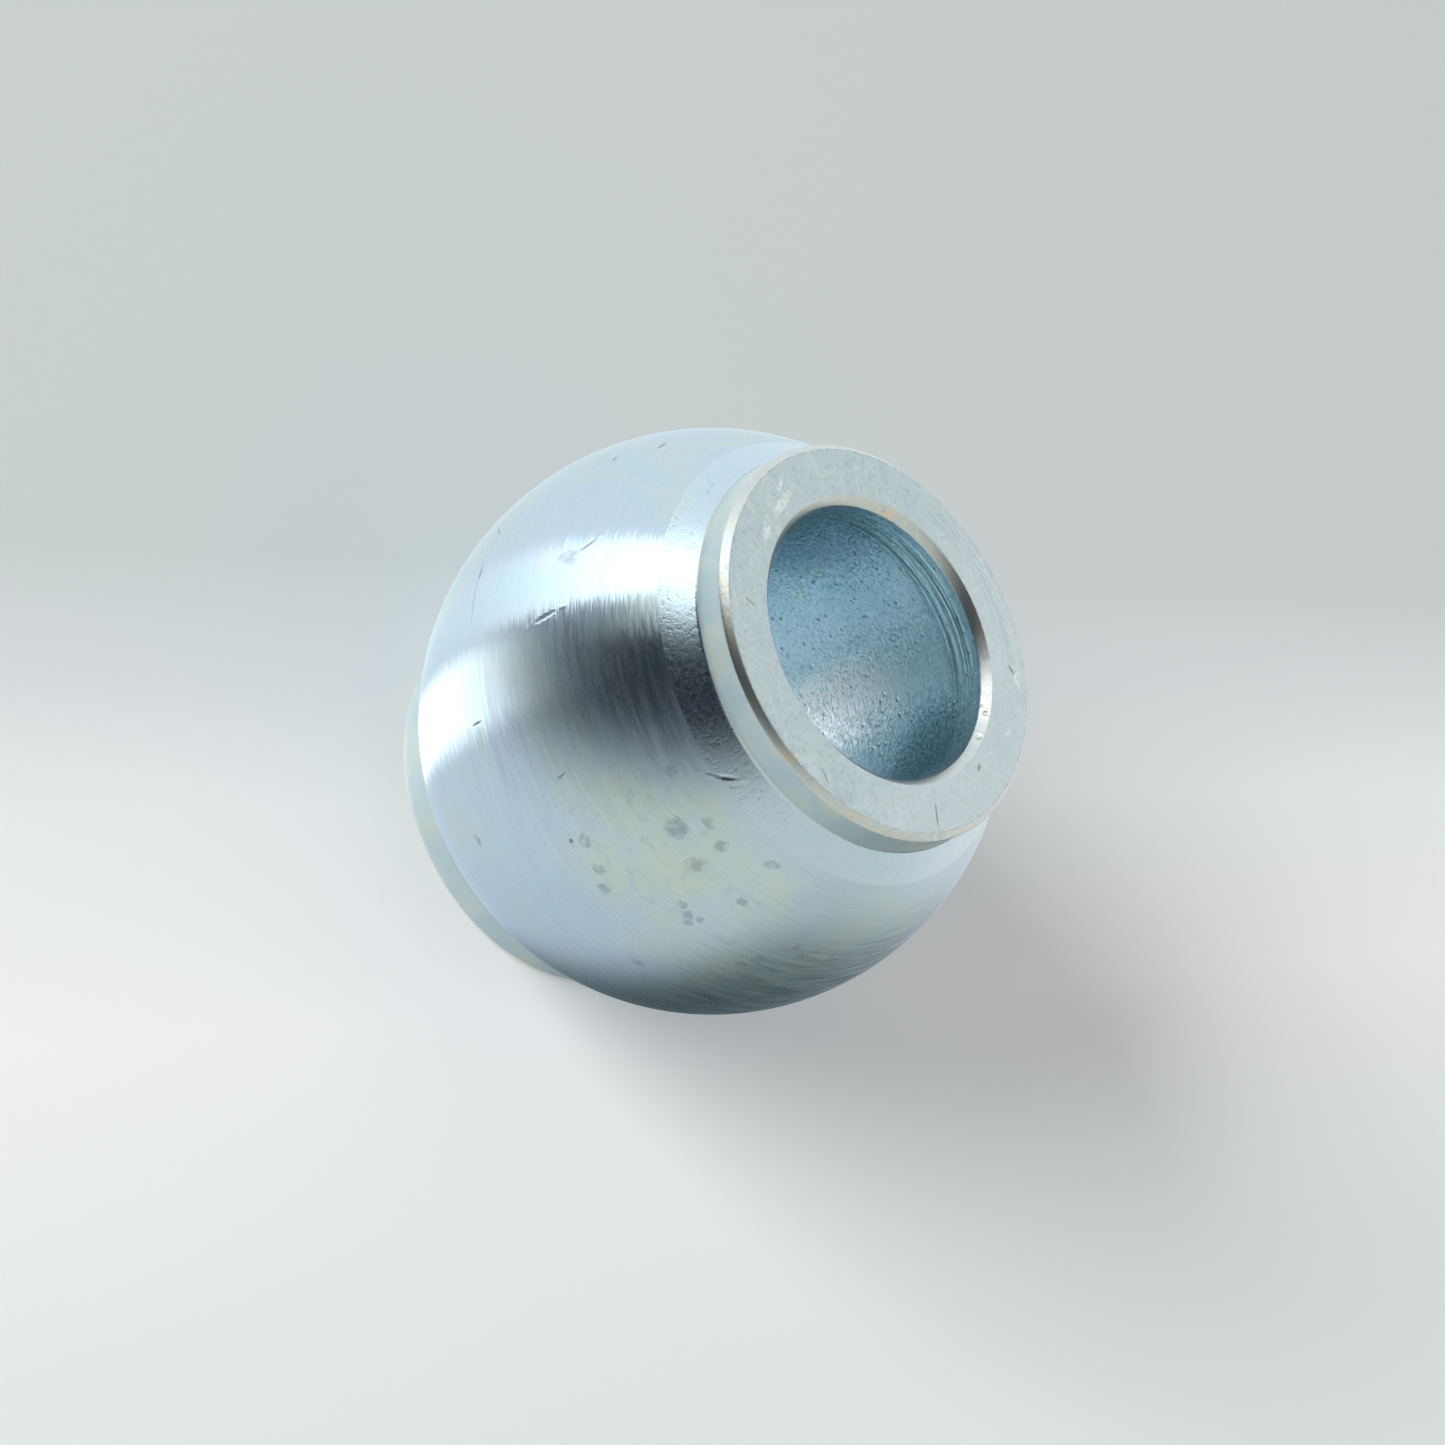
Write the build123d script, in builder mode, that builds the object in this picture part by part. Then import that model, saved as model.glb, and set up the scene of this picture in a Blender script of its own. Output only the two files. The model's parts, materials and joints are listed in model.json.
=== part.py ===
"""Inner ball of a three-point-linkage ball end: a turned steel ball with a bored hole and two collars.

Frame: millimetres, +Z along the bore, origin at the centre of the ball.
The ball stands on the flat face of its lower collar.
"""

import os
from math import sqrt

from build123d import *

# Driving dimensions, mm
ball_diameter = 54.0  # the sphere that runs in the linkage's socket
body_width = 46.0  # from one end face to the other, along the bore
collar_diameter = 37.2  # the short cylinder at each end of the bore
bore_diameter = 25.7  # clears a 25.4 mm hitch pin
collar_chamfer = 0.6  # 45 degrees, around the outside of each end face
bore_chamfer = 0.75  # 45 degrees, around each mouth of the bore
root_fillet = 0.5  # in the corner between each collar and the ball

# Worked out from the above
ball_radius = ball_diameter / 2
collar_radius = collar_diameter / 2
bore_radius = bore_diameter / 2
half_width = body_width / 2
# The collar comes out of the ball at this height. A body narrower than that has plain flats and no collars.
shoulder_height = sqrt(ball_radius**2 - collar_radius**2)
has_collars = half_width > shoulder_height + root_fillet


def at_height(edge, height):
    """Whether an edge's centre is at this height above or below the middle of the ball."""
    return abs(abs(edge.center(CenterOf.MASS).Z) - height) < 0.001


os.makedirs("parts", exist_ok=True)

with BuildPart() as linkage_ball:
    Sphere(ball_radius)
    Cylinder(collar_radius, body_width)
    Cylinder(ball_radius, body_width, mode=Mode.INTERSECT)

    if has_collars:
        collar_roots = linkage_ball.edges().filter_by(lambda edge: at_height(edge, shoulder_height))
        fillet(collar_roots, root_fillet)

    end_face_rims = linkage_ball.edges().filter_by(lambda edge: at_height(edge, half_width))
    chamfer(end_face_rims, collar_chamfer)

    Hole(bore_radius)
    bore_rims = linkage_ball.edges().filter_by(GeomType.CIRCLE).filter_by(
        lambda edge: at_height(edge, half_width) and abs(edge.radius - bore_radius) < 0.001
    )
    chamfer(bore_rims, bore_chamfer)

linkage_ball.part.label = "linkage_ball"
export_step(linkage_ball.part, "parts/linkage_ball.step")
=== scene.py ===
"""Looks of the linkage ball: turned, belt-polished and zinc-plated steel, standing on a pale floor."""

import json
import math
import random
from typing import NamedTuple

import bpy
import bmesh
from bpy.props import FloatProperty, FloatVectorProperty, IntProperty, PointerProperty
from mathutils import Matrix, Vector
from mathutils.kdtree import KDTree


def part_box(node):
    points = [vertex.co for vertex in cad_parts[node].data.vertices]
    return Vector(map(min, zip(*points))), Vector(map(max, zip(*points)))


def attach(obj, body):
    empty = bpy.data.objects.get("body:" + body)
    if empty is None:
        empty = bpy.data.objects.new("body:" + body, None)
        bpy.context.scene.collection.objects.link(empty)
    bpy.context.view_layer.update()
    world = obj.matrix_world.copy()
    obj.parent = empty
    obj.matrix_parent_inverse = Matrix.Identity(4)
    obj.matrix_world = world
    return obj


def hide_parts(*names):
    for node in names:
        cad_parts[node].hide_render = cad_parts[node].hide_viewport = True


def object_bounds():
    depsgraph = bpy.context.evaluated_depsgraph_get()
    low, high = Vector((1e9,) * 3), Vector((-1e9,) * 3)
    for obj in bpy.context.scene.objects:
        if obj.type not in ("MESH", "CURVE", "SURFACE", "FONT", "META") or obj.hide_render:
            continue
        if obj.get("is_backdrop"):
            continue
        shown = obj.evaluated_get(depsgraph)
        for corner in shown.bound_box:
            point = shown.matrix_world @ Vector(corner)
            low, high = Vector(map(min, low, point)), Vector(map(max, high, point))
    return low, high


bl_info = {
    "name": "Linkage Ball",
    "version": (1, 0, 0),
    "blender": (4, 5, 0),
    "location": "3D View > Sidebar > Linkage Ball",
    "description": "Builds a turned steel linkage ball with its plated finish, and a stage to show it on",
    "category": "Add Mesh",
}

NODE = "linkage_ball"
MM = 0.001
TINY = 0.01 * MM

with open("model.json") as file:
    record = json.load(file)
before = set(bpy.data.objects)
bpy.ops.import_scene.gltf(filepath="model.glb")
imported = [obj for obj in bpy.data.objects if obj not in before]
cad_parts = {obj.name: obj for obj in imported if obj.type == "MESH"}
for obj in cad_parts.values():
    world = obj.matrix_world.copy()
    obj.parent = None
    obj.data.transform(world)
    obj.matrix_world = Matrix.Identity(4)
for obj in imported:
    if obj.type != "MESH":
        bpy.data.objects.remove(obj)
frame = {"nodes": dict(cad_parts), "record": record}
CAD_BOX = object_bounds()
CAD_CORNERS = [vertex.co.copy() for vertex in frame["nodes"][NODE].data.vertices]


# ---------------------------------------------------------------- sizes read from the frame


def cad_radii(height):
    """The smallest and largest distance from the bore's axis of the CAD node's corners at this height."""
    radii = [corner.xy.length for corner in CAD_CORNERS if abs(corner.z - height) < TINY]
    return min(radii), max(radii)


def mount(name):
    """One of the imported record's mounts."""
    return next(m for m in frame["record"]["mounts"] if m["name"] == name)


BALL_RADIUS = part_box(NODE)[1].x
HALF_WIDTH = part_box(NODE)[1].z
BORE_RADIUS = mount("bore")["dims"]["r_mm"] * MM
FACE_INSIDE, FACE_OUTSIDE = cad_radii(HALF_WIDTH)
BORE_CHAMFER = FACE_INSIDE - BORE_RADIUS
COLLAR_RADIUS = max(corner.xy.length for corner in CAD_CORNERS if corner.z > HALF_WIDTH - 1 * MM)
COLLAR_CHAMFER = COLLAR_RADIUS - FACE_OUTSIDE
SHOULDER = math.sqrt(BALL_RADIUS**2 - COLLAR_RADIUS**2)


# ---------------------------------------------------------------- marks of wear

GROOVES = (18.7 * MM, 21.7 * MM)  # where the bore's upper mouth has the tool's grooves
GROOVED_SIDE = -165  # where they are deepest, in degrees from the front
FRONT = -60  # marks are placed in degrees round the axis from here, anticlockwise seen from above
BURR_EDGE = 1.6  # how far out a pressed mark's burr reaches, as a share of the mark's own size
BURR_HEIGHT = 0.2  # as a share of the mark's depth


class Mark(NamedTuple):
    """A scratch, dent, pit or stain. Its length, width and depth are in millimetres."""

    middle: Vector
    out: Vector  # the way out of the metal
    length: float
    width: float
    turn: float = 0.0  # degrees between its length and the direction round the axis
    depth: float = 0.0

    def rotation(self):
        """Turns X to the mark's length, Y to its width and Z out of the metal."""
        out = self.out
        along = Vector((-self.middle.y, self.middle.x, 0)).normalized()
        frame_at_mark = Matrix((along, out.cross(along), out)).transposed()
        return frame_at_mark @ Matrix.Rotation(math.radians(self.turn), 3, "Z")

    def scale(self):
        """Half its sizes in metres. It takes in at least a millimetre of metal above and below itself."""
        return Vector((self.length, self.width, max(self.length, 2.0))) * (MM / 2)

    def to_world(self):
        """From the mark's own space, where its outline is the unit circle."""
        return Matrix.LocRotScale(self.middle, self.rotation(), self.scale())


def round_axis(angle):
    """The level direction at this angle from the front."""
    turned = math.radians(FRONT + angle)
    return Vector((math.cos(turned), math.sin(turned), 0))


def on_ball(angle, share, *sizes):
    """A mark on the ball, at this share of its radius above its middle."""
    out = round_axis(angle) * math.sqrt(1 - share**2) + Vector((0, 0, share))
    return Mark(out * BALL_RADIUS, out, *sizes)


def on_face(angle, radius, *sizes):
    """A mark on the upper end face, at this radius in millimetres."""
    return Mark(round_axis(angle) * radius * MM + Vector((0, 0, HALF_WIDTH)), Vector((0, 0, 1)), *sizes)


def in_bore(angle, height, *sizes):
    """A mark on the bore's wall, at this height in millimetres."""
    return Mark(round_axis(angle) * BORE_RADIUS + Vector((0, 0, height * MM)), -round_axis(angle), *sizes)


# angle, share of the radius, length, width, turn, depth
BALL_SCARS = [
    on_ball(-34, 0.285, 3.0, 0.28, 106, 0.08),
    on_ball(-49, 0.41, 2.3, 0.24, 130, 0.05),
    on_ball(14, 0.65, 2.4, 0.32, 47, 0.08),
    on_ball(12.5, 0.635, 2.8, 0.22, 43, 0.04),
    on_ball(-47, -0.065, 9.0, 0.16, 2, 0.03),
    on_ball(-51, -0.063, 1.5, 0.42, 2, 0.06),
    on_ball(-62, -0.06, 2.0, 0.20, 35, 0.04),
    on_ball(-84, 0.43, 1.6, 0.28, 0, 0.05),
    on_ball(-77.5, 0.315, 1.2, 0.24, 10, 0.04),
    on_ball(91, 0.46, 1.8, 0.26, 40, 0.05),
    on_ball(-19, -0.06, 1.5, 0.20, 90, 0.03),
    on_ball(-3, 0.22, 1.1, 0.16, 102, 0.03),
    on_ball(8.75, 0.135, 0.5, 0.45, 0, 0.06),
    on_ball(150, 0.2, 3.5, 0.30, 25, 0.06),
    on_ball(-150, -0.35, 2.4, 0.26, -40, 0.05),
    on_ball(205, 0.4, 1.6, 0.40, 70, 0.07),
    on_ball(120, -0.3, 5.0, 0.18, 4, 0.03),
]

# angle, share of the radius, length, width, turn
BALL_STAINS = [
    on_ball(-46.5, 0.35, 2.4, 1.7, 70),
    on_ball(17, 0.46, 2.4, 2.0, 30),
    on_ball(26, 0.435, 2.1, 1.5, 30),
    on_ball(26, 0.525, 1.6, 1.1, 60),
    on_ball(20, 0.54, 1.4, 1.0, 0),
    on_ball(6, 0.54, 1.2, 1.0, 0),
    on_ball(37.5, 0.576, 1.8, 0.9, 20),
    on_ball(31, 0.30, 1.1, 0.9, 10),
    on_ball(33.5, 0.285, 1.3, 1.0, 10),
    on_ball(35, 0.262, 0.9, 0.8, 10),
    on_ball(36, 0.30, 0.8, 0.7, 10),
    on_ball(10, 0.18, 1.5, 1.2, 0),
    on_ball(16, 0.16, 1.3, 1.1, 40),
    on_ball(20, 0.126, 1.6, 1.0, 0),
    on_ball(58, 0.37, 1.3, 1.0, 15),
    on_ball(61, 0.34, 1.7, 1.0, 40),
    on_ball(63, 0.365, 1.2, 0.8, 0),
    on_ball(69, 0.34, 1.5, 1.0, -20),
    on_ball(53, 0.27, 1.6, 1.2, 0),
    on_ball(51, 0.225, 1.2, 1.0, 0),
    on_ball(37.5, -0.024, 1.5, 1.1, 0),
    on_ball(1, -0.285, 1.4, 1.0, 50),
    on_ball(39, 0.435, 1.2, 1.0, 0),
    on_ball(170, 0.3, 2.2, 1.6, 30),
    on_ball(178, 0.2, 1.5, 1.1, 0),
    on_ball(-130, 0.1, 1.8, 1.4, 60),
]

YELLOWED = on_ball(22, 0.36, 26.0, 15.0, 10)  # where the plating has faintly yellowed

# angle, radius, length, width, turn, depth
FACE_SCARS = [
    on_face(77, 16.4, 2.6, 0.22, 74, 0.03),
    on_face(107, 14.7, 0.9, 0.35, 20, 0.04),
    on_face(152, 16.2, 1.2, 0.30, 35, 0.04),
    on_face(-30, 15.6, 1.5, 0.16, 60, 0.02),
    on_face(30, 16.8, 1.8, 0.16, -35, 0.02),
]

# angle, radius, length, width, turn
FACE_BURNISHES = [
    on_face(-74, 15.1, 3.4, 1.1, 8),
    on_face(-60, 15.0, 3.0, 0.9, 18),
    on_face(-78, 16.4, 2.0, 0.6, 25),
    on_face(150, 16.8, 2.4, 0.8, 5),
    on_face(128, 16.0, 2.0, 0.5, -10),
]

# angle, radius, length, width, turn, depth
RIM_DENTS = [
    on_face(76, 18.1, 1.2, 0.8, 0, 0.22),
    on_face(150, 18.2, 2.2, 0.7, 0, 0.20),
    on_face(98, 18.2, 1.4, 0.5, 0, 0.10),
    on_face(119, 13.3, 0.8, 0.5, 0, 0.14),
    on_face(131, 13.3, 0.6, 0.5, 0, 0.12),
    on_face(-128, 13.3, 0.7, 0.5, 0, 0.14),
]

# angle, height, length, width of two darker patches on the bore's wall
BORE_DARK_PATCHES = [in_bore(122, 16, 11.0, 9.0), in_bore(-115, 15, 17.0, 17.0)]


def bore_pits(count):
    """Corrosion pits at random over the bore's wall."""
    dice = random.Random(7)
    pits = []
    for _ in range(count):
        size = dice.uniform(0.36, 0.62)
        place = dice.uniform(0, 360), dice.uniform(-1, 1) * (HALF_WIDTH / MM - 2)
        pits.append(in_bore(*place, size * dice.uniform(1.0, 1.5), size, dice.uniform(0, 180), size * 0.11))
    return pits


# ---------------------------------------------------------------- properties


def length_property(name, millimetres, description):
    metres = millimetres * MM
    return FloatProperty(name=name, description=description, default=metres, unit="LENGTH", precision=5)


def angle_property(name, degrees, description):
    radians = math.radians(degrees)
    return FloatProperty(name=name, description=description, default=radians, subtype="ANGLE")


def colour_property(name, colour, description):
    return FloatVectorProperty(name=name, description=description, default=colour, subtype="COLOR")


class BallShape(bpy.types.PropertyGroup):
    """Sizes of the ball that the frame leaves open."""

    segments: IntProperty(name="Segments", description="Steps of the lathe spin", default=330, min=48)
    arc_step: length_property("Arc Step", 0.52, "Spacing of the rings along the ball")
    bore_step: length_property("Bore Step", 0.68, "Spacing of the rings along the bore")
    root_reach: length_property("Root Reach", 0.4, "How far the fillet at its foot reaches up a collar")
    edge_break: length_property("Edge Break", 0.09, "Rounding left on the turned edges")
    groove_depth: length_property("Groove Depth", 0.07, "Depth of the tool's grooves in the bore's mouth")
    strip: length_property("Strip", 2.4, "Width of the unpolished strip beside each collar")
    pits: IntProperty(name="Pits", description="How many pits the bore's wall has", default=150, min=0)


class BallFinish(bpy.types.PropertyGroup):
    """Main colours of the plated surfaces."""

    ball_colour: colour_property("Ball", (0.57, 0.72, 0.81), "Belt-polished zinc")
    face_colour: colour_property("End Face", (0.55, 0.655, 0.675), "Matt zinc on the end faces")
    bore_colour: colour_property("Bore", (0.56, 0.75, 0.84), "Blue-grey zinc inside the bore")


class StageSetup(bpy.types.PropertyGroup):
    """Camera and floor."""

    azimuth: angle_property("Azimuth", 30, "Camera's direction round the bore's axis")
    elevation: angle_property("Elevation", 43.27, "Camera's height above the end face")
    roll: angle_property("Roll", 64.28, "Turn of the camera about its own line of sight")
    distance: length_property("Distance", 369, "From the ball's centre to the camera")
    lens: FloatProperty(name="Lens", description="In millimetres, on a 36 mm sensor", default=99.65)
    floor_colour: colour_property("Floor", (0.86, 0.865, 0.865), "Pale floor")
    # The grey of the painted shade on the floor's far side, which camera rays also see beyond the floor.
    shaded_far_floor_colour: colour_property("Far Floor", (0.57, 0.615, 0.61), "Floor behind the ball")


# ---------------------------------------------------------------- shader maths


class Value:
    """A shader output that Python arithmetic adds Math nodes to."""

    def __init__(self, recipe, socket):
        self.recipe = recipe
        self.socket = socket

    def __add__(self, other):
        return self.recipe.math("ADD", self, other)

    def __sub__(self, other):
        return self.recipe.math("SUBTRACT", self, other)

    def __rsub__(self, other):
        return self.recipe.math("SUBTRACT", other, self)

    def __mul__(self, other):
        return self.recipe.math("MULTIPLY", self, other)

    def __truediv__(self, other):
        return self.recipe.math("DIVIDE", self, other)

    def __pow__(self, other):
        return self.recipe.math("POWER", self, other)

    def __abs__(self):
        return self.recipe.math("ABSOLUTE", self)

    __radd__ = __add__

    def step(self, low, high):
        """0 below low, 1 above high, and smooth between them. Low may be the larger."""
        if low > high:
            return 1.0 - self.step(high, low)
        inputs = {"Value": self, "From Min": low, "From Max": high}
        return self.recipe.add("ShaderNodeMapRange", {"interpolation_type": "SMOOTHSTEP"}, inputs)

    def band(self, low, high, soft):
        """1 between low and high, 0 outside, with edges as wide as soft."""
        return self.step(low - soft / 2, low + soft / 2) * self.step(high + soft / 2, high - soft / 2)


class Recipe:
    """Writes one node tree."""

    def __init__(self, tree):
        self.tree = tree
        tree.nodes.clear()

    def add(self, kind, settings=None, inputs=None, output=0):
        """A node of this type, with its settings, and then the values or links of its sockets."""
        node = self.tree.nodes.new(kind)
        for name, value in (settings or {}).items():
            if name == "stops":
                self.set_ramp(node.color_ramp, value)
            else:
                setattr(node, name, value)
        for key, value in (inputs or {}).items():
            if isinstance(value, Value):
                self.tree.links.new(value.socket, node.inputs[key])
            else:
                node.inputs[key].default_value = value
        return Value(self, node.outputs[output]) if node.outputs else node

    @staticmethod
    def set_ramp(ramp, stops):
        while len(ramp.elements) < len(stops):
            ramp.elements.new(1.0)
        for element, (position, colour) in zip(ramp.elements, stops):
            element.position = position
            element.color = (*colour, 1.0)

    def math(self, operation, first, second=0.0):
        return self.add("ShaderNodeMath", {"operation": operation}, {0: first, 1: second})

    def noise(self, vector, scale=1.0, detail=3.0, roughness=0.5, distortion=0.0):
        inputs = {"Vector": vector, "Scale": scale, "Detail": detail, "Roughness": roughness}
        inputs["Distortion"] = distortion
        return self.add("ShaderNodeTexNoise", None, inputs)

    def vector(self, x, y, z):
        return self.add("ShaderNodeCombineXYZ", None, {0: x, 1: y, 2: z})

    def dot(self, first, second):
        settings = {"operation": "DOT_PRODUCT"}
        return self.add("ShaderNodeVectorMath", settings, {0: first, 1: second}, "Value")

    def mix(self, factor, first, second):
        settings = {"data_type": "RGBA", "blend_type": "MIX"}
        return self.add("ShaderNodeMix", settings, {0: factor, 6: rgba(first), 7: rgba(second)}, 2)

    def clouds(self, place, scale, stops, detail=4.0):
        """Soft patches of the colours of these stops."""
        inputs = {"Fac": self.noise(place, scale, detail, 0.55, 0.6)}
        return self.add("ShaderNodeValToRGB", {"stops": stops}, inputs)

    def bump(self, height, strength, distance, normal=None):
        inputs = {"Height": height, "Strength": strength, "Distance": distance}
        if normal is not None:
            inputs["Normal"] = normal
        return self.add("ShaderNodeBump", None, inputs)


def rgba(colour):
    """A colour socket's value, from three numbers or a link."""
    return colour if isinstance(colour, Value) else (*colour, 1.0)


class Turned(Recipe):
    """A material's recipe for a surface turned about Z, with places in millimetres and round the axis."""

    def __init__(self, material):
        material.use_nodes = True
        super().__init__(material.node_tree)
        self.place = self.add("ShaderNodeTexCoord", None, None, "Object")
        parts = self.add("ShaderNodeSeparateXYZ", None, {0: self.place}).socket.node
        x, y, z = (Value(self, parts.outputs[i]) for i in range(3))
        self.height = z * (1 / MM)
        distance = (x * x + y * y) ** 0.5
        self.radius = distance * (1 / MM)
        self.east = x / distance
        self.north = y / distance
        self.mm = self.add("ShaderNodeVectorMath", {"operation": "SCALE"}, {0: self.place, "Scale": 1 / MM})

    def lines(self, across, length, width, detail=2.0, seed=0.0):
        """Noise drawn out round the axis: lines of this length in radians and this width in millimetres."""
        spot = self.vector(self.east / length + seed, self.north / length, across / width)
        return self.noise(spot, 1.0, detail, 0.6)

    def leaned(self, amount):
        """The surface's normal, leaned round the axis by about this many radians."""
        normal = self.add("ShaderNodeNewGeometry", None, None, "Normal")
        sideways = self.vector(self.north * -1, self.east, 0.0)
        lean = self.add("ShaderNodeVectorMath", {"operation": "SCALE"}, {0: sideways, "Scale": amount})
        total = self.add("ShaderNodeVectorMath", {"operation": "ADD"}, {0: normal, 1: lean})
        return self.add("ShaderNodeVectorMath", {"operation": "NORMALIZE"}, {0: total})

    def facing(self, angle):
        """The cosine of how far round the axis a place is from this angle."""
        return self.dot(self.vector(self.east, self.north, 0.0), round_axis(angle))

    def scratches(self):
        """Fine straight scratches in three directions."""
        total = 0.0
        for turn in (0.5, 1.7, 2.6):
            across = self.dot(self.mm, (math.cos(turn), math.sin(turn), 0))
            along = self.dot(self.mm, (-math.sin(turn), math.cos(turn), 0))
            line = self.noise(self.vector(across / 0.16, along / 4.0, turn), 1.0, 1.0).step(0.64, 0.72)
            total = self.math("MAXIMUM", line, total)
        return total

    def marked(self, marks, ragged=0.0):
        """1 on the marks and 0 elsewhere, with soft edges."""
        edge = self.noise(self.mm, 2.5, 2.0) * ragged - ragged / 2
        total = 0.0
        for mark in marks:
            inputs = {"Vector": self.place, "Location": mark.middle, "Rotation": mark.rotation().to_euler(),
                      "Scale": mark.scale()}
            local = self.add("ShaderNodeMapping", {"vector_type": "TEXTURE"}, inputs)
            reach = self.add("ShaderNodeVectorMath", {"operation": "LENGTH"}, {0: local}, "Value")
            total = self.math("MAXIMUM", (reach + edge).step(1.15, 0.6), total)
        return total

    def finish(self, normal=None, **sockets):
        """The metal shader and the material's output."""
        inputs = {"Metallic": 1.0}
        inputs.update({name.replace("_", " "): value for name, value in sockets.items()})
        if normal is not None:
            inputs["Normal"] = normal
        shader = self.add("ShaderNodeBsdfPrincipled", None, inputs)
        self.add("ShaderNodeOutputMaterial", None, {"Surface": shader})


# ---------------------------------------------------------------- materials


def new_material(name):
    material = bpy.data.materials.new(name)
    return material, Turned(material)


def plated(colour, red, green, blue):
    """A tint of the plating, as shares of its main colour."""
    return colour[0] * red, colour[1] * green, colour[2] * blue


def ball_colour(t, finish):
    """Pale blue zinc with lilac, green and cream clouds and darker stains, and where the stains are."""
    main = tuple(finish.ball_colour)
    stops = [
        (0.34, plated(main, 0.97, 1.00, 1.01)),
        (0.44, plated(main, 1.02, 0.98, 1.03)),
        (0.52, plated(main, 1.00, 1.01, 0.99)),
        (0.60, plated(main, 1.07, 1.01, 0.93)),
        (0.68, plated(main, 0.98, 1.00, 1.00)),
    ]
    colour = t.clouds(t.mm, 0.085, stops, 3.0)
    yellowed = t.marked([YELLOWED], 0.8)
    yellow = yellowed * t.noise(t.mm, 0.22, 3.0).step(0.38, 0.62)
    colour = t.mix(yellow, colour, plated(main, 1.10, 1.03, 0.86))
    mottle = t.noise(t.mm, 0.8, 4.0, 0.65)
    darker = mottle.step(0.52, 0.78) * (yellowed * 0.40 + 0.07)
    colour = t.mix(darker, colour, plated(main, 0.70, 0.73, 0.75))
    stain = t.marked(BALL_STAINS, 1.3) * t.noise(t.mm, 1.4, 3.0, 0.6).step(0.25, 0.60)
    return t.mix(stain * 0.5, colour, (0.27, 0.33, 0.37)), stain


def ball_material(finish):
    """The ball: polished round the axis with a belt, which leaves fine lines."""
    material, t = new_material("zinc_polished_ball")
    lines = t.lines(t.height, 0.11, 0.13, 2.0)
    streaks = t.lines(t.height, 0.24, 0.45, 2.0, 4.0)
    upper = t.height.step(-8, 6)
    normal = t.leaned((lines - 0.5) * (upper * 0.05 + 0.06) + (streaks - 0.5) * 0.05)
    normal = t.bump(lines * 0.7 + streaks * 0.3, 0.3, 0.012 * MM, normal)
    colour, stain = ball_colour(t, finish)
    scar = t.marked(BALL_SCARS)
    colour = t.mix(lines.step(0.50, 0.75) * (upper * 0.08 + 0.05), colour, (0.36, 0.46, 0.52))
    colour = t.mix(scar * 0.5, colour, (0.12, 0.15, 0.17))
    rough = 0.27 + (streaks - 0.5) * (upper * 0.10 + 0.06) + scar * 0.15 + stain * 0.04
    t.finish(normal, Base_Color=colour, Roughness=rough, Anisotropic=1.0, Anisotropic_Rotation=0.25)
    return material


def strip_material(finish):
    """The strip of the ball beside each collar, which the belt didn't reach: grainy zinc."""
    material, t = new_material("zinc_grainy_strip")
    grain = t.noise(t.mm, 3.6, 3.0, 0.7)
    pits = t.noise(t.mm, 1.7, 2.0, 0.6)
    rougher = t.facing(-25).step(0.3, 0.9) * 0.65 + 0.35
    normal = t.bump((grain + pits.step(0.3, 0.5) * 0.6) * rougher, 0.5, 0.026 * MM)
    colour, stain = ball_colour(t, finish)
    scar = t.marked(BALL_SCARS)
    colour = t.mix(grain.step(0.52, 0.7) * rougher * 0.22, colour, (0.64, 0.72, 0.70))
    colour = t.mix(pits.step(0.42, 0.3) * rougher * 0.3, colour, (0.24, 0.29, 0.31))
    colour = t.mix(scar * 0.5, colour, (0.12, 0.15, 0.17))
    t.finish(normal, Base_Color=colour, Roughness=0.27 + (grain - 0.5) * 0.2 + stain * 0.05)
    return material


def collar_material(_finish):
    """The collars' walls: satin zinc with fine turning lines, and painted shade in the corner at each foot.
    """
    material, t = new_material("zinc_satin_collar")
    lines = t.lines(t.height, 0.5, 0.12, 3.0)
    grain = t.noise(t.mm, 3.0, 3.0)
    normal = t.bump(lines + grain * 0.5, 0.3, 0.02 * MM)
    stops = [(0.36, (0.60, 0.74, 0.77)), (0.50, (0.65, 0.77, 0.79)), (0.62, (0.71, 0.79, 0.75))]
    colour = t.clouds(t.mm, 0.22, stops)
    # Painted shade: darker in the corner at the collar's foot, where it meets the ball; the darker turning
    # lines are the metal's own.
    foot = abs(t.height).step(SHOULDER / MM + 0.7, SHOULDER / MM + 0.1)
    colour = t.mix(foot * 0.25 + lines.step(0.55, 0.8) * 0.2, colour, (0.38, 0.50, 0.54))
    t.finish(normal, Base_Color=colour, Roughness=0.62 + (grain - 0.5) * 0.15)
    return material


def chamfer_material(_finish):
    """The chamfers: bright, faintly yellow zinc, with scuffs where things have knocked them."""
    material, t = new_material("zinc_bright_chamfer")
    lines = t.lines(t.radius, 0.5, 0.12, 2.0)
    grain = t.noise(t.mm, 3.4, 3.0, 0.7)
    normal = t.bump(lines * 0.6 + grain, 0.5, 0.05 * MM)
    stops = [(0.36, (0.60, 0.67, 0.70)), (0.48, (0.66, 0.69, 0.66)), (0.56, (0.60, 0.67, 0.69)),
             (0.66, (0.72, 0.68, 0.56))]
    colour = t.clouds(t.mm, 0.3, stops)
    scuff = t.noise(t.mm, 1.1, 4.0, 0.7).step(0.60, 0.72)
    colour = t.mix(scuff * 0.45, colour, (0.26, 0.26, 0.24))
    t.finish(normal, Base_Color=colour, Roughness=0.28 + grain * 0.1 + scuff * 0.15)
    return material


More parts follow.
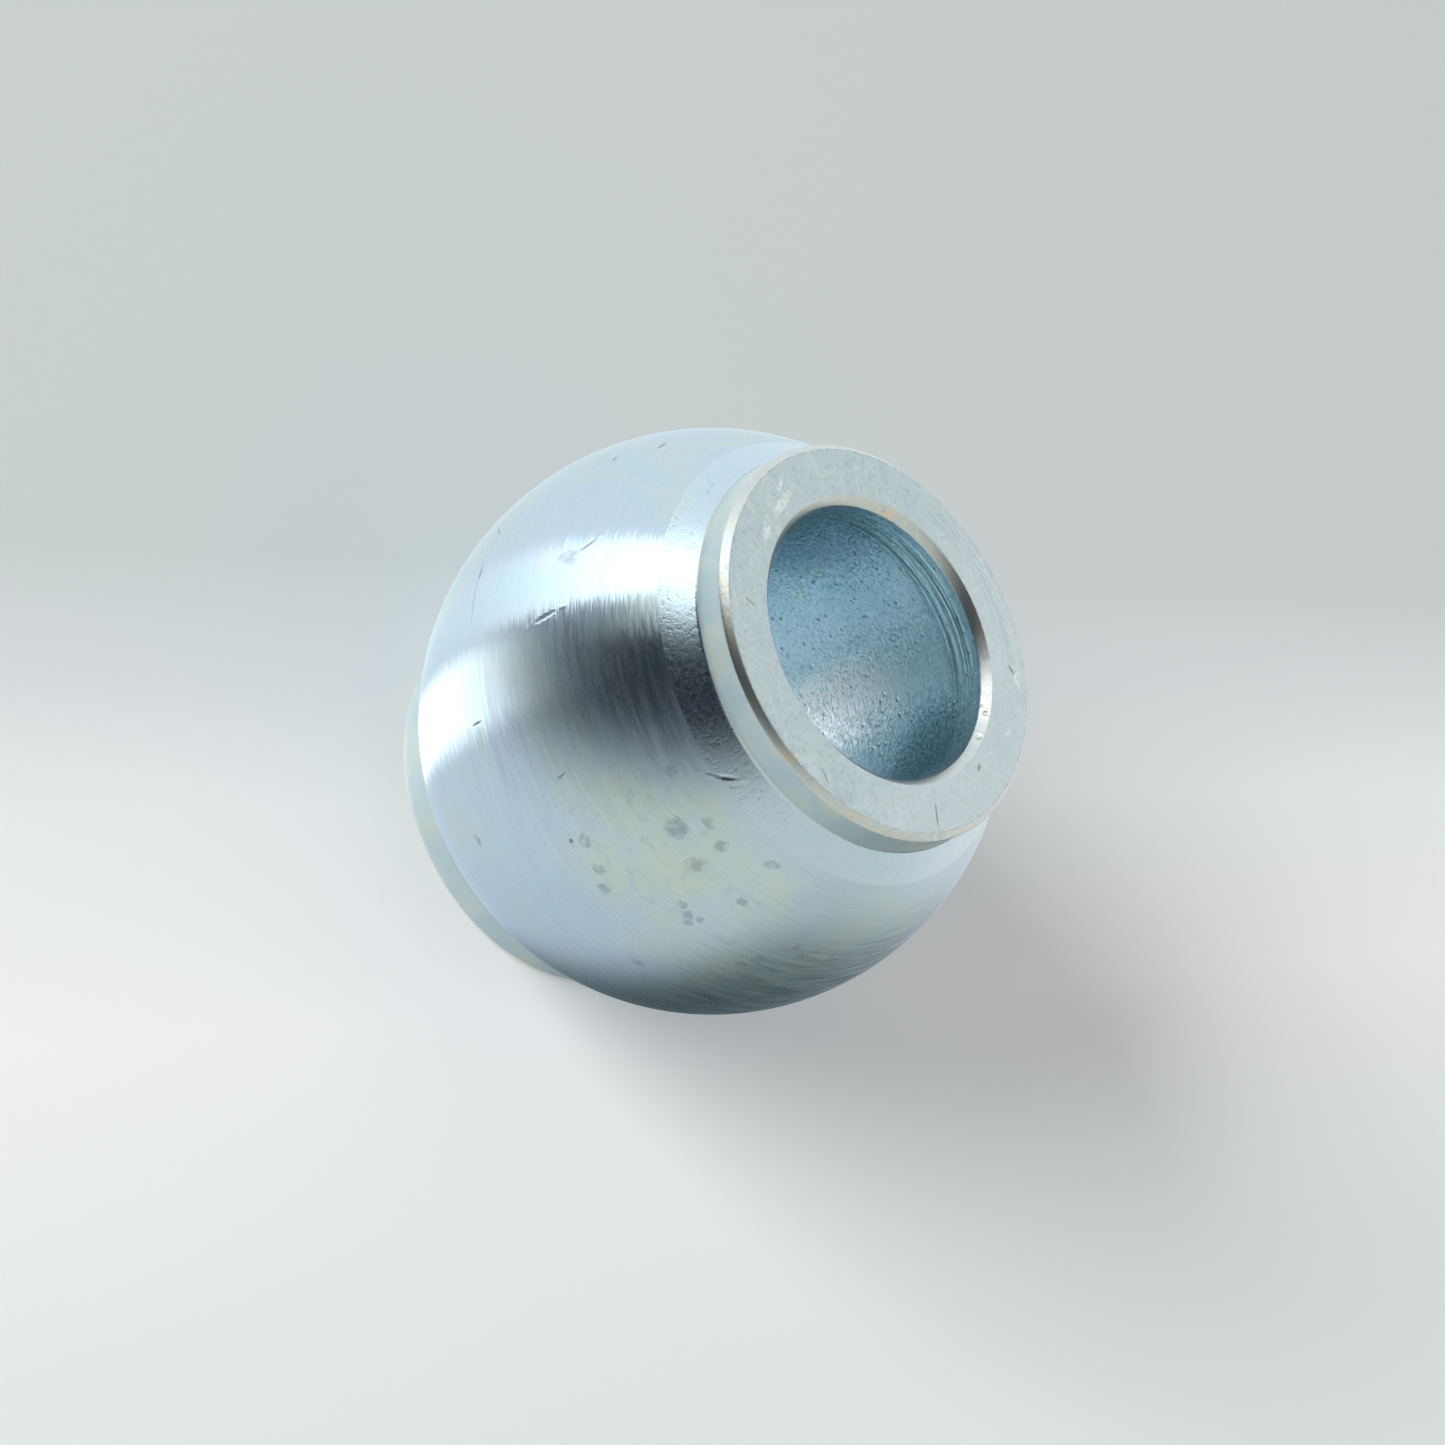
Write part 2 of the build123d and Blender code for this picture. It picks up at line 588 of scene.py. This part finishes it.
def face_material(finish):
    """The end faces: matt, mottled zinc with fine facing rings, scratches and burnished rubs."""
    material, t = new_material("zinc_matt_face")
    rings = t.lines(t.radius, 0.4, 0.12, 3.0)
    grain = t.noise(t.mm, 2.2, 4.0, 0.65)
    scratches = t.scratches()
    rub = t.marked(FACE_BURNISHES, 1.2) * grain.step(0.42, 0.56)
    scar = t.marked(FACE_SCARS)
    paler = t.facing(130).step(-0.2, 0.8)
    arcs = t.lines(t.radius, 1.2, 0.10, 1.0, 3.0)
    arced = t.facing(180).step(0.78, 0.93) * t.radius.step(14.8, 16.2)
    light_arcs = arced * arcs.step(0.60, 0.67)
    normal = t.bump(grain * 0.9 + rings * 0.5 - scratches * 0.25 - light_arcs * 0.6, 0.4, 0.03 * MM)
    main = tuple(finish.face_colour)
    stops = [(0.32, plated(main, 0.96, 0.97, 0.99)), (0.46, plated(main, 1.02, 1.03, 1.06)),
             (0.56, plated(main, 1.04, 1.02, 0.99)), (0.66, plated(main, 1.10, 1.09, 1.09))]
    colour = t.clouds(t.mm, 0.25, stops)
    fleck = t.noise(t.mm, 4.5, 3.0, 0.7)
    colour = t.mix(grain.step(0.50, 0.70) * 0.45, colour, plated(main, 0.70, 0.72, 0.74))
    colour = t.mix(fleck.step(0.58, 0.70) * 0.5, colour, (0.85, 0.90, 0.92))
    colour = t.mix(paler * 0.5, colour, plated(main, 1.27, 1.20, 1.20))
    colour = t.mix(arced * arcs.step(0.42, 0.35) * 0.5, colour, plated(main, 0.60, 0.60, 0.62))
    colour = t.mix(scratches * 0.14 + rub * 0.6 + light_arcs * 0.5, colour, (0.92, 0.94, 0.93))
    worn = t.noise(t.mm, 1.3, 3.0, 0.7).step(0.40, 0.60)
    rim = abs(t.radius - FACE_OUTSIDE / MM).step(0.16, 0.02) * worn
    colour = t.mix(scar * 0.6 + rim * 0.4, colour, (0.16, 0.16, 0.16))
    rough = 0.52 + (grain - 0.5) * 0.2 - rub * 0.22 - scratches * 0.1
    t.finish(normal, Base_Color=colour, Roughness=rough)
    return material


def bore_material(finish):
    """The bore: blue zinc, pitted and grainy, with grooves near one mouth and painted highlights on two
    sides.
    """
    material, t = new_material("zinc_pitted_bore")
    cells = t.add("ShaderNodeTexVoronoi", None, {"Vector": t.mm, "Scale": 1.05, "Randomness": 1.0})
    size = t.noise(t.mm, 0.5, 2.0)
    pits = cells.step(0.26, 0.10) * size.step(0.44, 0.60)
    grain = t.lines(t.height, 0.035, 0.28, 3.0)
    dust = t.noise(t.mm, 3.4, 3.0, 0.7)
    specks = t.lines(t.height, 0.028, 0.26, 2.0, 9.0)
    normal = t.leaned((grain - 0.5) * 0.8)
    normal = t.bump(dust * 0.8 + grain * 0.6 + specks * 0.6 - pits * 1.2, 0.8, 0.045 * MM, normal)
    main = tuple(finish.bore_colour)
    stops = [(0.33, plated(main, 0.82, 0.90, 0.90)), (0.46, main), (0.56, plated(main, 1.04, 1.02, 1.02)),
             (0.68, plated(main, 1.14, 1.02, 0.86))]
    colour = t.clouds(t.mm, 0.16, stops)
    colour = t.mix(specks.step(0.54, 0.66) * 0.40, colour, (0.76, 0.90, 0.94))
    colour = t.mix(specks.step(0.44, 0.34) * 0.45, colour, (0.20, 0.32, 0.37))
    # Painted highlight: a paler side round 144 degrees.
    colour = t.mix(t.facing(144).step(0.80, 0.97) * 0.35, colour, (0.80, 0.94, 0.98))
    # Painted highlight: white flecks round 159 degrees at the bore's middle heights, and on the lower bore
    # round -66 degrees.
    painted_highlight = t.facing(159).step(0.91, 0.985) * abs(t.height - 1.0).step(13.0, 4.0)
    low_painted_highlight = t.facing(-66).step(0.83, 0.95) * t.height.step(-9.0, -12.0)
    painted_highlight = t.math("MAXIMUM", painted_highlight, low_painted_highlight)
    colour = t.mix(painted_highlight * specks.step(0.39, 0.51), colour, (0.92, 0.99, 1.0))
    grooved = t.height.band(*(edge / MM for edge in GROOVES), 1.0) * t.facing(GROOVED_SIDE).step(0.5, 0.9)
    ridges = t.lines(t.height, 0.4, 0.30, 4.0, 7.0)
    colour = t.mix(grooved * ridges.step(0.48, 0.60) * 0.65, colour, (0.16, 0.24, 0.22))
    colour = t.mix(grooved * ridges.step(0.45, 0.36) * 0.60, colour, (0.74, 0.88, 0.88))
    # Darker blue on two patches of the bore's wall, mottled by the dust noise.
    colour = t.mix(t.marked(BORE_DARK_PATCHES, 1.2) * (dust * 0.8 + 0.2), colour, (0.20, 0.34, 0.42))
    colour = t.mix(pits * 0.5, colour, (0.10, 0.17, 0.21))
    t.finish(normal, Base_Color=colour, Roughness=0.36 + (dust - 0.5) * 0.2, Anisotropic=0.5,
             Anisotropic_Rotation=0.25)
    return material


# ---------------------------------------------------------------- modelling helpers


def deselect_everything():
    if bpy.context.object and bpy.context.object.mode != "OBJECT":
        bpy.ops.object.mode_set(mode="OBJECT")
    bpy.ops.object.select_all(action="DESELECT")


def edit(piece):
    """Opens a piece in edit mode with nothing selected."""
    bpy.context.view_layer.objects.active = piece
    bpy.ops.object.mode_set(mode="EDIT")
    bpy.ops.mesh.select_all(action="DESELECT")


def pick(piece, kind, wanted):
    """Selects the vertices, edges or faces that the test wants, and nothing else. Returns how many."""
    bpy.ops.mesh.select_all(action="DESELECT")
    bpy.ops.mesh.select_mode(type={"verts": "VERT", "edges": "EDGE", "faces": "FACE"}[kind])
    shape = bmesh.from_edit_mesh(piece.data)
    chosen = [part for part in getattr(shape, kind) if wanted(part)]
    for part in chosen:
        part.select_set(True)
    bmesh.update_edit_mesh(piece.data)
    return len(chosen)


def middle(edge):
    return (edge.verts[0].co + edge.verts[1].co) / 2


def near(value, target):
    return abs(value - target) < TINY


def tree_of(places):
    """A tree for finding which of these places are near a point."""
    tree = KDTree(len(places))
    for index, place in enumerate(places):
        tree.insert(place, index)
    tree.balance()
    return tree


def within(tree, mark, reach):
    """Each place within this many times the mark's size: its index, and its place in the mark's space."""
    to_mark = mark.to_world().inverted()
    for place, index, _ in tree.find_range(mark.middle, reach * max(mark.scale())):
        local = to_mark @ place
        if local.length < reach:
            yield index, local


def refine(piece, marks):
    """Divides the faces round each mark, and puts the new corners on the ball's true surface."""
    tree = tree_of([polygon.center for polygon in piece.data.polygons])
    wanted = {index for mark in marks for index, _ in within(tree, widened(mark), BURR_EDGE)}
    edit(piece)
    pick(piece, "faces", lambda face: face.index in wanted)
    bpy.ops.mesh.subdivide(number_cuts=2)
    bpy.ops.object.mode_set(mode="OBJECT")
    tree = tree_of([vertex.co for vertex in piece.data.vertices])
    for mark in marks:
        for index, _ in within(tree, widened(mark), BURR_EDGE + 0.9):
            vertex = piece.data.vertices[index]
            if abs(vertex.co.length - BALL_RADIUS) < TINY and abs(vertex.co.z) < SHOULDER - TINY:
                vertex.co = vertex.co.normalized() * BALL_RADIUS


def widened(mark):
    """The mark with room for a whole face on each side."""
    return mark._replace(width=max(mark.width, 0.9))


def press(piece, marks):
    """Pushes each mark into the metal as a groove or a dent, with a low burr thrown up round it."""
    tree = tree_of([vertex.co for vertex in piece.data.vertices])
    for mark in marks:
        for index, local in within(tree, mark, BURR_EDGE):
            reach = local.xy.length
            if reach < 1:
                sink = (1 - reach**2) ** 2
            else:
                sink = -BURR_HEIGHT * math.sin(math.pi * (reach - 1) / (BURR_EDGE - 1))
            piece.data.vertices[index].co -= mark.out * mark.depth * MM * sink


# ---------------------------------------------------------------- the ball


class LINKAGE_OT_add_ball(bpy.types.Operator):
    """Turn the ball as on a lathe, then wear and plate it"""

    bl_idname = "linkage.add_ball"
    bl_label = "Add Ball"

    def execute(self, context):
        shape = context.scene.ball_shape
        finish = context.scene.ball_finish
        deselect_everything()
        piece = self.draw_profile(shape)
        self.spin_profile(shape)
        bpy.ops.object.mode_set(mode="OBJECT")
        self.wear(piece, shape)
        self.smooth(piece)
        self.assign_finishes(piece, shape, finish)
        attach(piece, "root")
        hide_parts(NODE)
        return {"FINISHED"}

    def draw_profile(self, shape):
        """Half of the ball's section, as a chain of edges in the XZ plane."""
        arc_points = round(math.tau * BALL_RADIUS / shape.arc_step)
        upright = (math.pi / 2, 0, 0)
        bpy.ops.mesh.primitive_circle_add(vertices=arc_points, radius=BALL_RADIUS, rotation=upright)
        piece = bpy.context.object
        piece.name = piece.data.name = "plated_ball"
        bpy.ops.object.transform_apply(rotation=True)
        edit(piece)
        for normal, height in (((0, 0, 1), SHOULDER), ((0, 0, -1), SHOULDER), ((-1, 0, 0), 0.0)):
            bpy.ops.mesh.select_all(action="SELECT")
            bpy.ops.mesh.bisect(plane_co=Vector(normal) * height, plane_no=normal, clear_outer=True)
        pick(piece, "verts", lambda v: v.co.x < COLLAR_RADIUS - TINY)
        bpy.ops.mesh.delete(type="VERT")

        corners = [
            (COLLAR_RADIUS, SHOULDER),
            (COLLAR_RADIUS, HALF_WIDTH - COLLAR_CHAMFER),
            (FACE_OUTSIDE, HALF_WIDTH),
            (FACE_INSIDE, HALF_WIDTH),
            (BORE_RADIUS, HALF_WIDTH - BORE_CHAMFER),
        ]
        corners += [(radius, -height) for radius, height in reversed(corners)]
        pick(piece, "verts", lambda v: near(v.co.x, COLLAR_RADIUS) and near(v.co.z, SHOULDER))
        for (radius, height), (next_radius, next_height) in zip(corners, corners[1:]):
            move = {"value": (next_radius - radius, 0, next_height - height)}
            bpy.ops.mesh.extrude_vertices_move(TRANSFORM_OT_translate=move)
        bpy.ops.mesh.select_all(action="SELECT")
        bpy.ops.mesh.remove_doubles(threshold=TINY)

        self.round_corners(piece, shape)
        self.divide_straights(piece, shape)
        return piece

    def round_corners(self, piece, shape):
        """A fillet at each collar's foot, and a broken edge at every other corner."""
        pick(piece, "verts", lambda v: near(v.co.x, COLLAR_RADIUS) and near(abs(v.co.z), SHOULDER))
        bpy.ops.mesh.bevel(offset=shape.root_reach, segments=6, affect="VERTICES")
        edge_heights = (HALF_WIDTH - COLLAR_CHAMFER, HALF_WIDTH, HALF_WIDTH - BORE_CHAMFER)
        pick(piece, "verts", lambda v: any(near(abs(v.co.z), height) for height in edge_heights))
        bpy.ops.mesh.bevel(offset=shape.edge_break, segments=2, affect="VERTICES")

    def divide_straights(self, piece, shape):
        """Gives each long straight stretch its rings, with close ones where the bore has grooves."""
        longest = 1.6 * shape.arc_step
        edges = bmesh.from_edit_mesh(piece.data).edges
        lengths = sorted({round(edge.calc_length() / TINY) for edge in edges})
        for length in [n * TINY for n in lengths if n * TINY > longest]:
            pick(piece, "edges", lambda edge: abs(edge.calc_length() - length) < 2 * TINY)
            step = shape.bore_step if length > HALF_WIDTH else shape.arc_step
            bpy.ops.mesh.subdivide(number_cuts=math.ceil(length / step) - 1)
        low, high = GROOVES
        pick(piece, "edges", lambda edge: near(middle(edge).x, BORE_RADIUS) and low < middle(edge).z < high)
        bpy.ops.mesh.subdivide(number_cuts=5)

    def spin_profile(self, shape):
        """Turns the section once round the bore's axis, and closes the seam."""
        bpy.ops.mesh.select_all(action="SELECT")
        bpy.ops.mesh.spin(steps=shape.segments, angle=math.tau, center=(0, 0, 0), axis=(0, 0, 1))
        bpy.ops.mesh.select_all(action="SELECT")
        bpy.ops.mesh.remove_doubles(threshold=TINY)
        bpy.ops.mesh.normals_make_consistent(inside=False)

    def wear(self, piece, shape):
        """Refines the metal at each mark, cuts the tool's grooves, and presses the marks in."""
        scars = [*BALL_SCARS, *FACE_SCARS, *RIM_DENTS, *bore_pits(shape.pits)]
        refine(piece, scars)
        self.cut_grooves(piece, shape)
        press(piece, scars)

    def cut_grooves(self, piece, shape):
        """Five uneven grooves of the boring tool below the upper chamfer, deepest on one side."""
        low, high = GROOVES
        side = round_axis(GROOVED_SIDE)
        for vertex in piece.data.vertices:
            out = vertex.co.xy.length
            if not (near(out, BORE_RADIUS) and low < vertex.co.z < high):
                continue
            share = (vertex.co.z - low) / (high - low)
            facing = max(0.0, vertex.co.xy.dot(side.xy) / out)
            wave = 0.5 - 0.5 * math.cos(math.tau * (5 * share + 0.35 * math.sin(9 * share)))
            depth = shape.groove_depth * wave * math.sin(math.pi * share) ** 0.5 * min(1.0, 2.2 * facing**3)
            vertex.co.xy *= 1 + depth / out

    def smooth(self, piece):
        bpy.ops.object.select_all(action="DESELECT")
        piece.select_set(True)
        bpy.ops.object.shade_smooth()
        bpy.ops.object.modifier_add(type="WEIGHTED_NORMAL")
        bpy.ops.object.modifier_apply(modifier=piece.modifiers[-1].name)

    def assign_finishes(self, piece, shape, finish):
        """Gives each turned surface its own finish."""
        makers = (ball_material, strip_material, collar_material)
        makers += (chamfer_material, face_material, bore_material)
        for maker in makers:
            piece.data.materials.append(maker(finish))
        ball, strip, collar, chamfer, face, bore = range(len(makers))
        level, sloping = 0.92, 0.3  # how upright a face's normal is on an end face and on a chamfer
        for polygon in piece.data.polygons:
            centre, normal = polygon.center, polygon.normal
            height, radius = abs(centre.z), centre.xy.length
            if radius < BORE_RADIUS + TINY * 10 and height < HALF_WIDTH - BORE_CHAMFER:
                polygon.material_index = bore
            elif height < SHOULDER - shape.strip:
                polygon.material_index = ball
            elif height < SHOULDER and radius > COLLAR_RADIUS:
                polygon.material_index = strip
            elif abs(normal.z) > level:
                polygon.material_index = face
            elif abs(normal.z) > sloping:
                polygon.material_index = chamfer
            else:
                polygon.material_index = collar


# ---------------------------------------------------------------- the stage


def camera_axes(stage):
    """The camera's right, up and backward directions."""
    around, above = stage.azimuth, stage.elevation
    level = Vector((math.cos(around), math.sin(around), 0))
    back = Vector((
        math.sin(around) * math.cos(above),
        -math.cos(around) * math.cos(above),
        math.sin(above),
    ))
    upright = back.cross(level)
    right = level * math.cos(stage.roll) + upright * math.sin(stage.roll)
    up = upright * math.cos(stage.roll) - level * math.sin(stage.roll)
    return right, up, back


class LINKAGE_OT_add_stage(bpy.types.Operator):
    """Add the floor, the studio's surroundings, the key light and the camera"""

    bl_idname = "linkage.add_stage"
    bl_label = "Add Stage"

    def execute(self, context):
        stage = context.scene.stage_setup
        deselect_everything()
        axes = camera_axes(stage)
        self.add_floor(stage, axes)
        self.add_surroundings(context.scene, stage)
        self.add_key_light(axes)
        self.add_camera(context.scene, stage, axes)
        context.scene.view_settings.view_transform = "Standard"
        return {"FINISHED"}

    def add_floor(self, stage, axes):
        under_ball = (0, 0, -HALF_WIDTH)
        bpy.ops.mesh.primitive_circle_add(vertices=96, radius=3.0, fill_type="NGON", location=under_ball)
        floor = bpy.context.object
        floor.name = "floor"
        bpy.ops.object.transform_apply(location=True)
        floor.visible_glossy = False
        floor.visible_shadow = False
        material, t = new_material("pale_floor")
        near_edge, far_edge = -63 * MM, 75 * MM
        share = (t.dot(t.place, axes[1]) - near_edge) / (far_edge - near_edge)
        pale, grey = tuple(stage.floor_colour), tuple(stage.shaded_far_floor_colour)
        # Painted shade: along the camera's up direction the floor is a little darker at the near edge,
        # palest just beyond it, and fades to grey towards the far side, in place of light falling off
        # across the floor.
        stops = [
            (0.0, plated(pale, 0.86, 0.91, 0.89)),
            (0.26, pale),
            (0.40, plated(pale, 0.92, 0.945, 0.94)),
            (0.48, plated(pale, 0.78, 0.82, 0.825)),
            (0.57, grey),
            (1.0, grey),
        ]
        colour = t.add("ShaderNodeValToRGB", {"stops": stops}, {"Fac": share})
        t.finish(Base_Color=colour, Roughness=0.9, Metallic=0.0)
        floor.data.materials.append(material)
        floor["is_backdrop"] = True

    def add_surroundings(self, scene, stage):
        """What the metal reflects: pale walls, two windows, a dark doorway and a shaded corner.

        Each is placed by where the ball shows it to the main camera: by the angle round the bore's axis
        in degrees, and by the height on the ball as a share of its radius.
        """
        world = bpy.data.worlds.new("surroundings")
        scene.world = world
        world.use_nodes = True
        w = Recipe(world.node_tree)
        direction = w.add("ShaderNodeTexCoord", None, None, "Generated")
        back = camera_axes(stage)[2]
        half_way = w.add("ShaderNodeVectorMath", {"operation": "ADD"}, {0: direction, 1: back})
        half_way = w.add("ShaderNodeVectorMath", {"operation": "NORMALIZE"}, {0: half_way})
        front = Vector((back.x, back.y, 0)).normalized()
        side = Vector((0, 0, 1)).cross(front)
        rise = w.dot(half_way, (0, 0, 1))
        angle = w.math("ARCTAN2", w.dot(half_way, side), w.dot(half_way, front))
        angle = angle * math.degrees(1)

        right_wall = w.mix(rise.step(0.0, 0.35), (0.66, 0.71, 0.78), (0.76, 0.76, 0.70))
        walls = w.mix(angle.step(-22, 32), (0.97, 1.01, 1.02), right_wall)
        walls = w.mix(angle.step(60, 100) * rise.step(0.3, 0.6), walls, (0.98, 0.93, 0.88))
        walls = w.mix(angle.step(95, 125), walls, (0.92, 0.93, 0.93))
        corner = (angle - rise * 30).step(31, 50) * (rise - angle * 0.002).step(0.41, 0.19)
        corner = corner * angle.step(160, 125)
        seen = w.mix(corner, walls, (0.008, 0.028, 0.034))
        shift = rise.step(0.595, 0.66) * 9
        doorway = (angle - shift).step(-37.5, -34.0) * rise.step(-0.04, 0.25)
        doorway = doorway * (angle - (rise - 0.7) * 50).step(29, 2)
        seen = w.mix(doorway, seen, (0.006, 0.012, 0.02))
        low_window = angle.band(-34, -18, 6) * rise.band(-0.78, 0.03, 0.25)
        seen = w.mix(low_window, seen, (2.5, 2.5, 2.5))
        window = angle.step(-53, -50) * (angle - shift * 0.6).step(-35.5, -37.5)
        window = window * rise.step(0.12, 0.50)
        seen = w.mix(window, seen, (2.0, 2.0, 1.95))
        seen = w.mix(rise.step(0.86, 0.97), seen, (0.90, 0.90, 0.90))

        rays = w.add("ShaderNodeLightPath").socket.node
        diffuse, glossy = (Value(w, rays.outputs[name]) for name in ("Is Diffuse Ray", "Is Glossy Ray"))
        # Glossy rays see the surroundings, and other rays from the camera see the grey of the floor's
        # painted shade.
        shown = w.mix(glossy, tuple(stage.shaded_far_floor_colour), seen)
        shown = w.mix(diffuse, shown, (0.53, 0.53, 0.535))
        background = w.add("ShaderNodeBackground", None, {"Color": shown, "Strength": 1.0})
        w.add("ShaderNodeOutputWorld", None, {"Surface": background})
        world.cycles.sampling_method = "NONE"

    def add_key_light(self, axes):
        """A wide soft lamp, high on the left, whose reflection is left to the window."""
        direction = self.from_camera(axes, (-0.43, 0.43, 0.79))
        distance = 4.0
        bpy.ops.object.light_add(type="AREA", location=direction * distance)
        lamp = bpy.context.object
        lamp.name = "key_light"
        lamp.data.shape = "ELLIPSE"
        lamp.data.size = 1.9
        lamp.data.size_y = 2.8
        lamp.data.energy = 205.0
        lamp.rotation_euler = self.facing(direction, axes[1]).to_euler()
        lamp.visible_glossy = False

    def facing(self, direction, up):
        """A turn that points a lamp's back this way, with its own Y as near to up as it can be."""
        side = up.cross(direction).normalized()
        return Matrix((side, direction.cross(side), direction)).transposed()

    def from_camera(self, axes, direction):
        """A direction given along the camera's right, up and back."""
        return sum((axis * part for axis, part in zip(axes, direction)), Vector()).normalized()

    def add_camera(self, scene, stage, axes):
        right, up, back = axes
        aside, below = 0.97 * MM, 0.11 * MM
        bpy.ops.object.camera_add(location=back * stage.distance + right * aside - up * below)
        camera = bpy.context.object
        camera.name = "camera"
        camera.rotation_euler = Matrix(axes).transposed().to_euler()
        camera.data.lens = stage.lens
        scene.camera = camera


# ---------------------------------------------------------------- panel and registration


class LINKAGE_PT_panel(bpy.types.Panel):
    """Linkage ball tools"""

    bl_idname = "LINKAGE_PT_panel"
    bl_label = "Linkage Ball"
    bl_space_type = "VIEW_3D"
    bl_region_type = "UI"
    bl_category = "Linkage Ball"

    def draw(self, context):
        for group_name, operator in (("ball_shape", None), ("ball_finish", LINKAGE_OT_add_ball),
                                     ("stage_setup", LINKAGE_OT_add_stage)):
            group = getattr(context.scene, group_name)
            box = self.layout.box()
            for name in group.__annotations__:
                box.prop(group, name)
            if operator:
                box.operator(operator.bl_idname)


GROUPS = {"ball_shape": BallShape, "ball_finish": BallFinish, "stage_setup": StageSetup}
CLASSES = (*GROUPS.values(), LINKAGE_OT_add_ball, LINKAGE_OT_add_stage, LINKAGE_PT_panel)


def register():
    for cls in CLASSES:
        bpy.utils.register_class(cls)
    for name, group in GROUPS.items():
        setattr(bpy.types.Scene, name, PointerProperty(type=group))


def unregister():
    for name in GROUPS:
        delattr(bpy.types.Scene, name)
    for cls in reversed(CLASSES):
        bpy.utils.unregister_class(cls)


def main():
    register()
    bpy.ops.linkage.add_ball()
    bpy.ops.linkage.add_stage()
    sizes = {"cad": CAD_BOX, "visual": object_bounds()}
    {name: [list(corner) for corner in box] for name, box in sizes.items()}


if __name__ == "__main__":
    main()
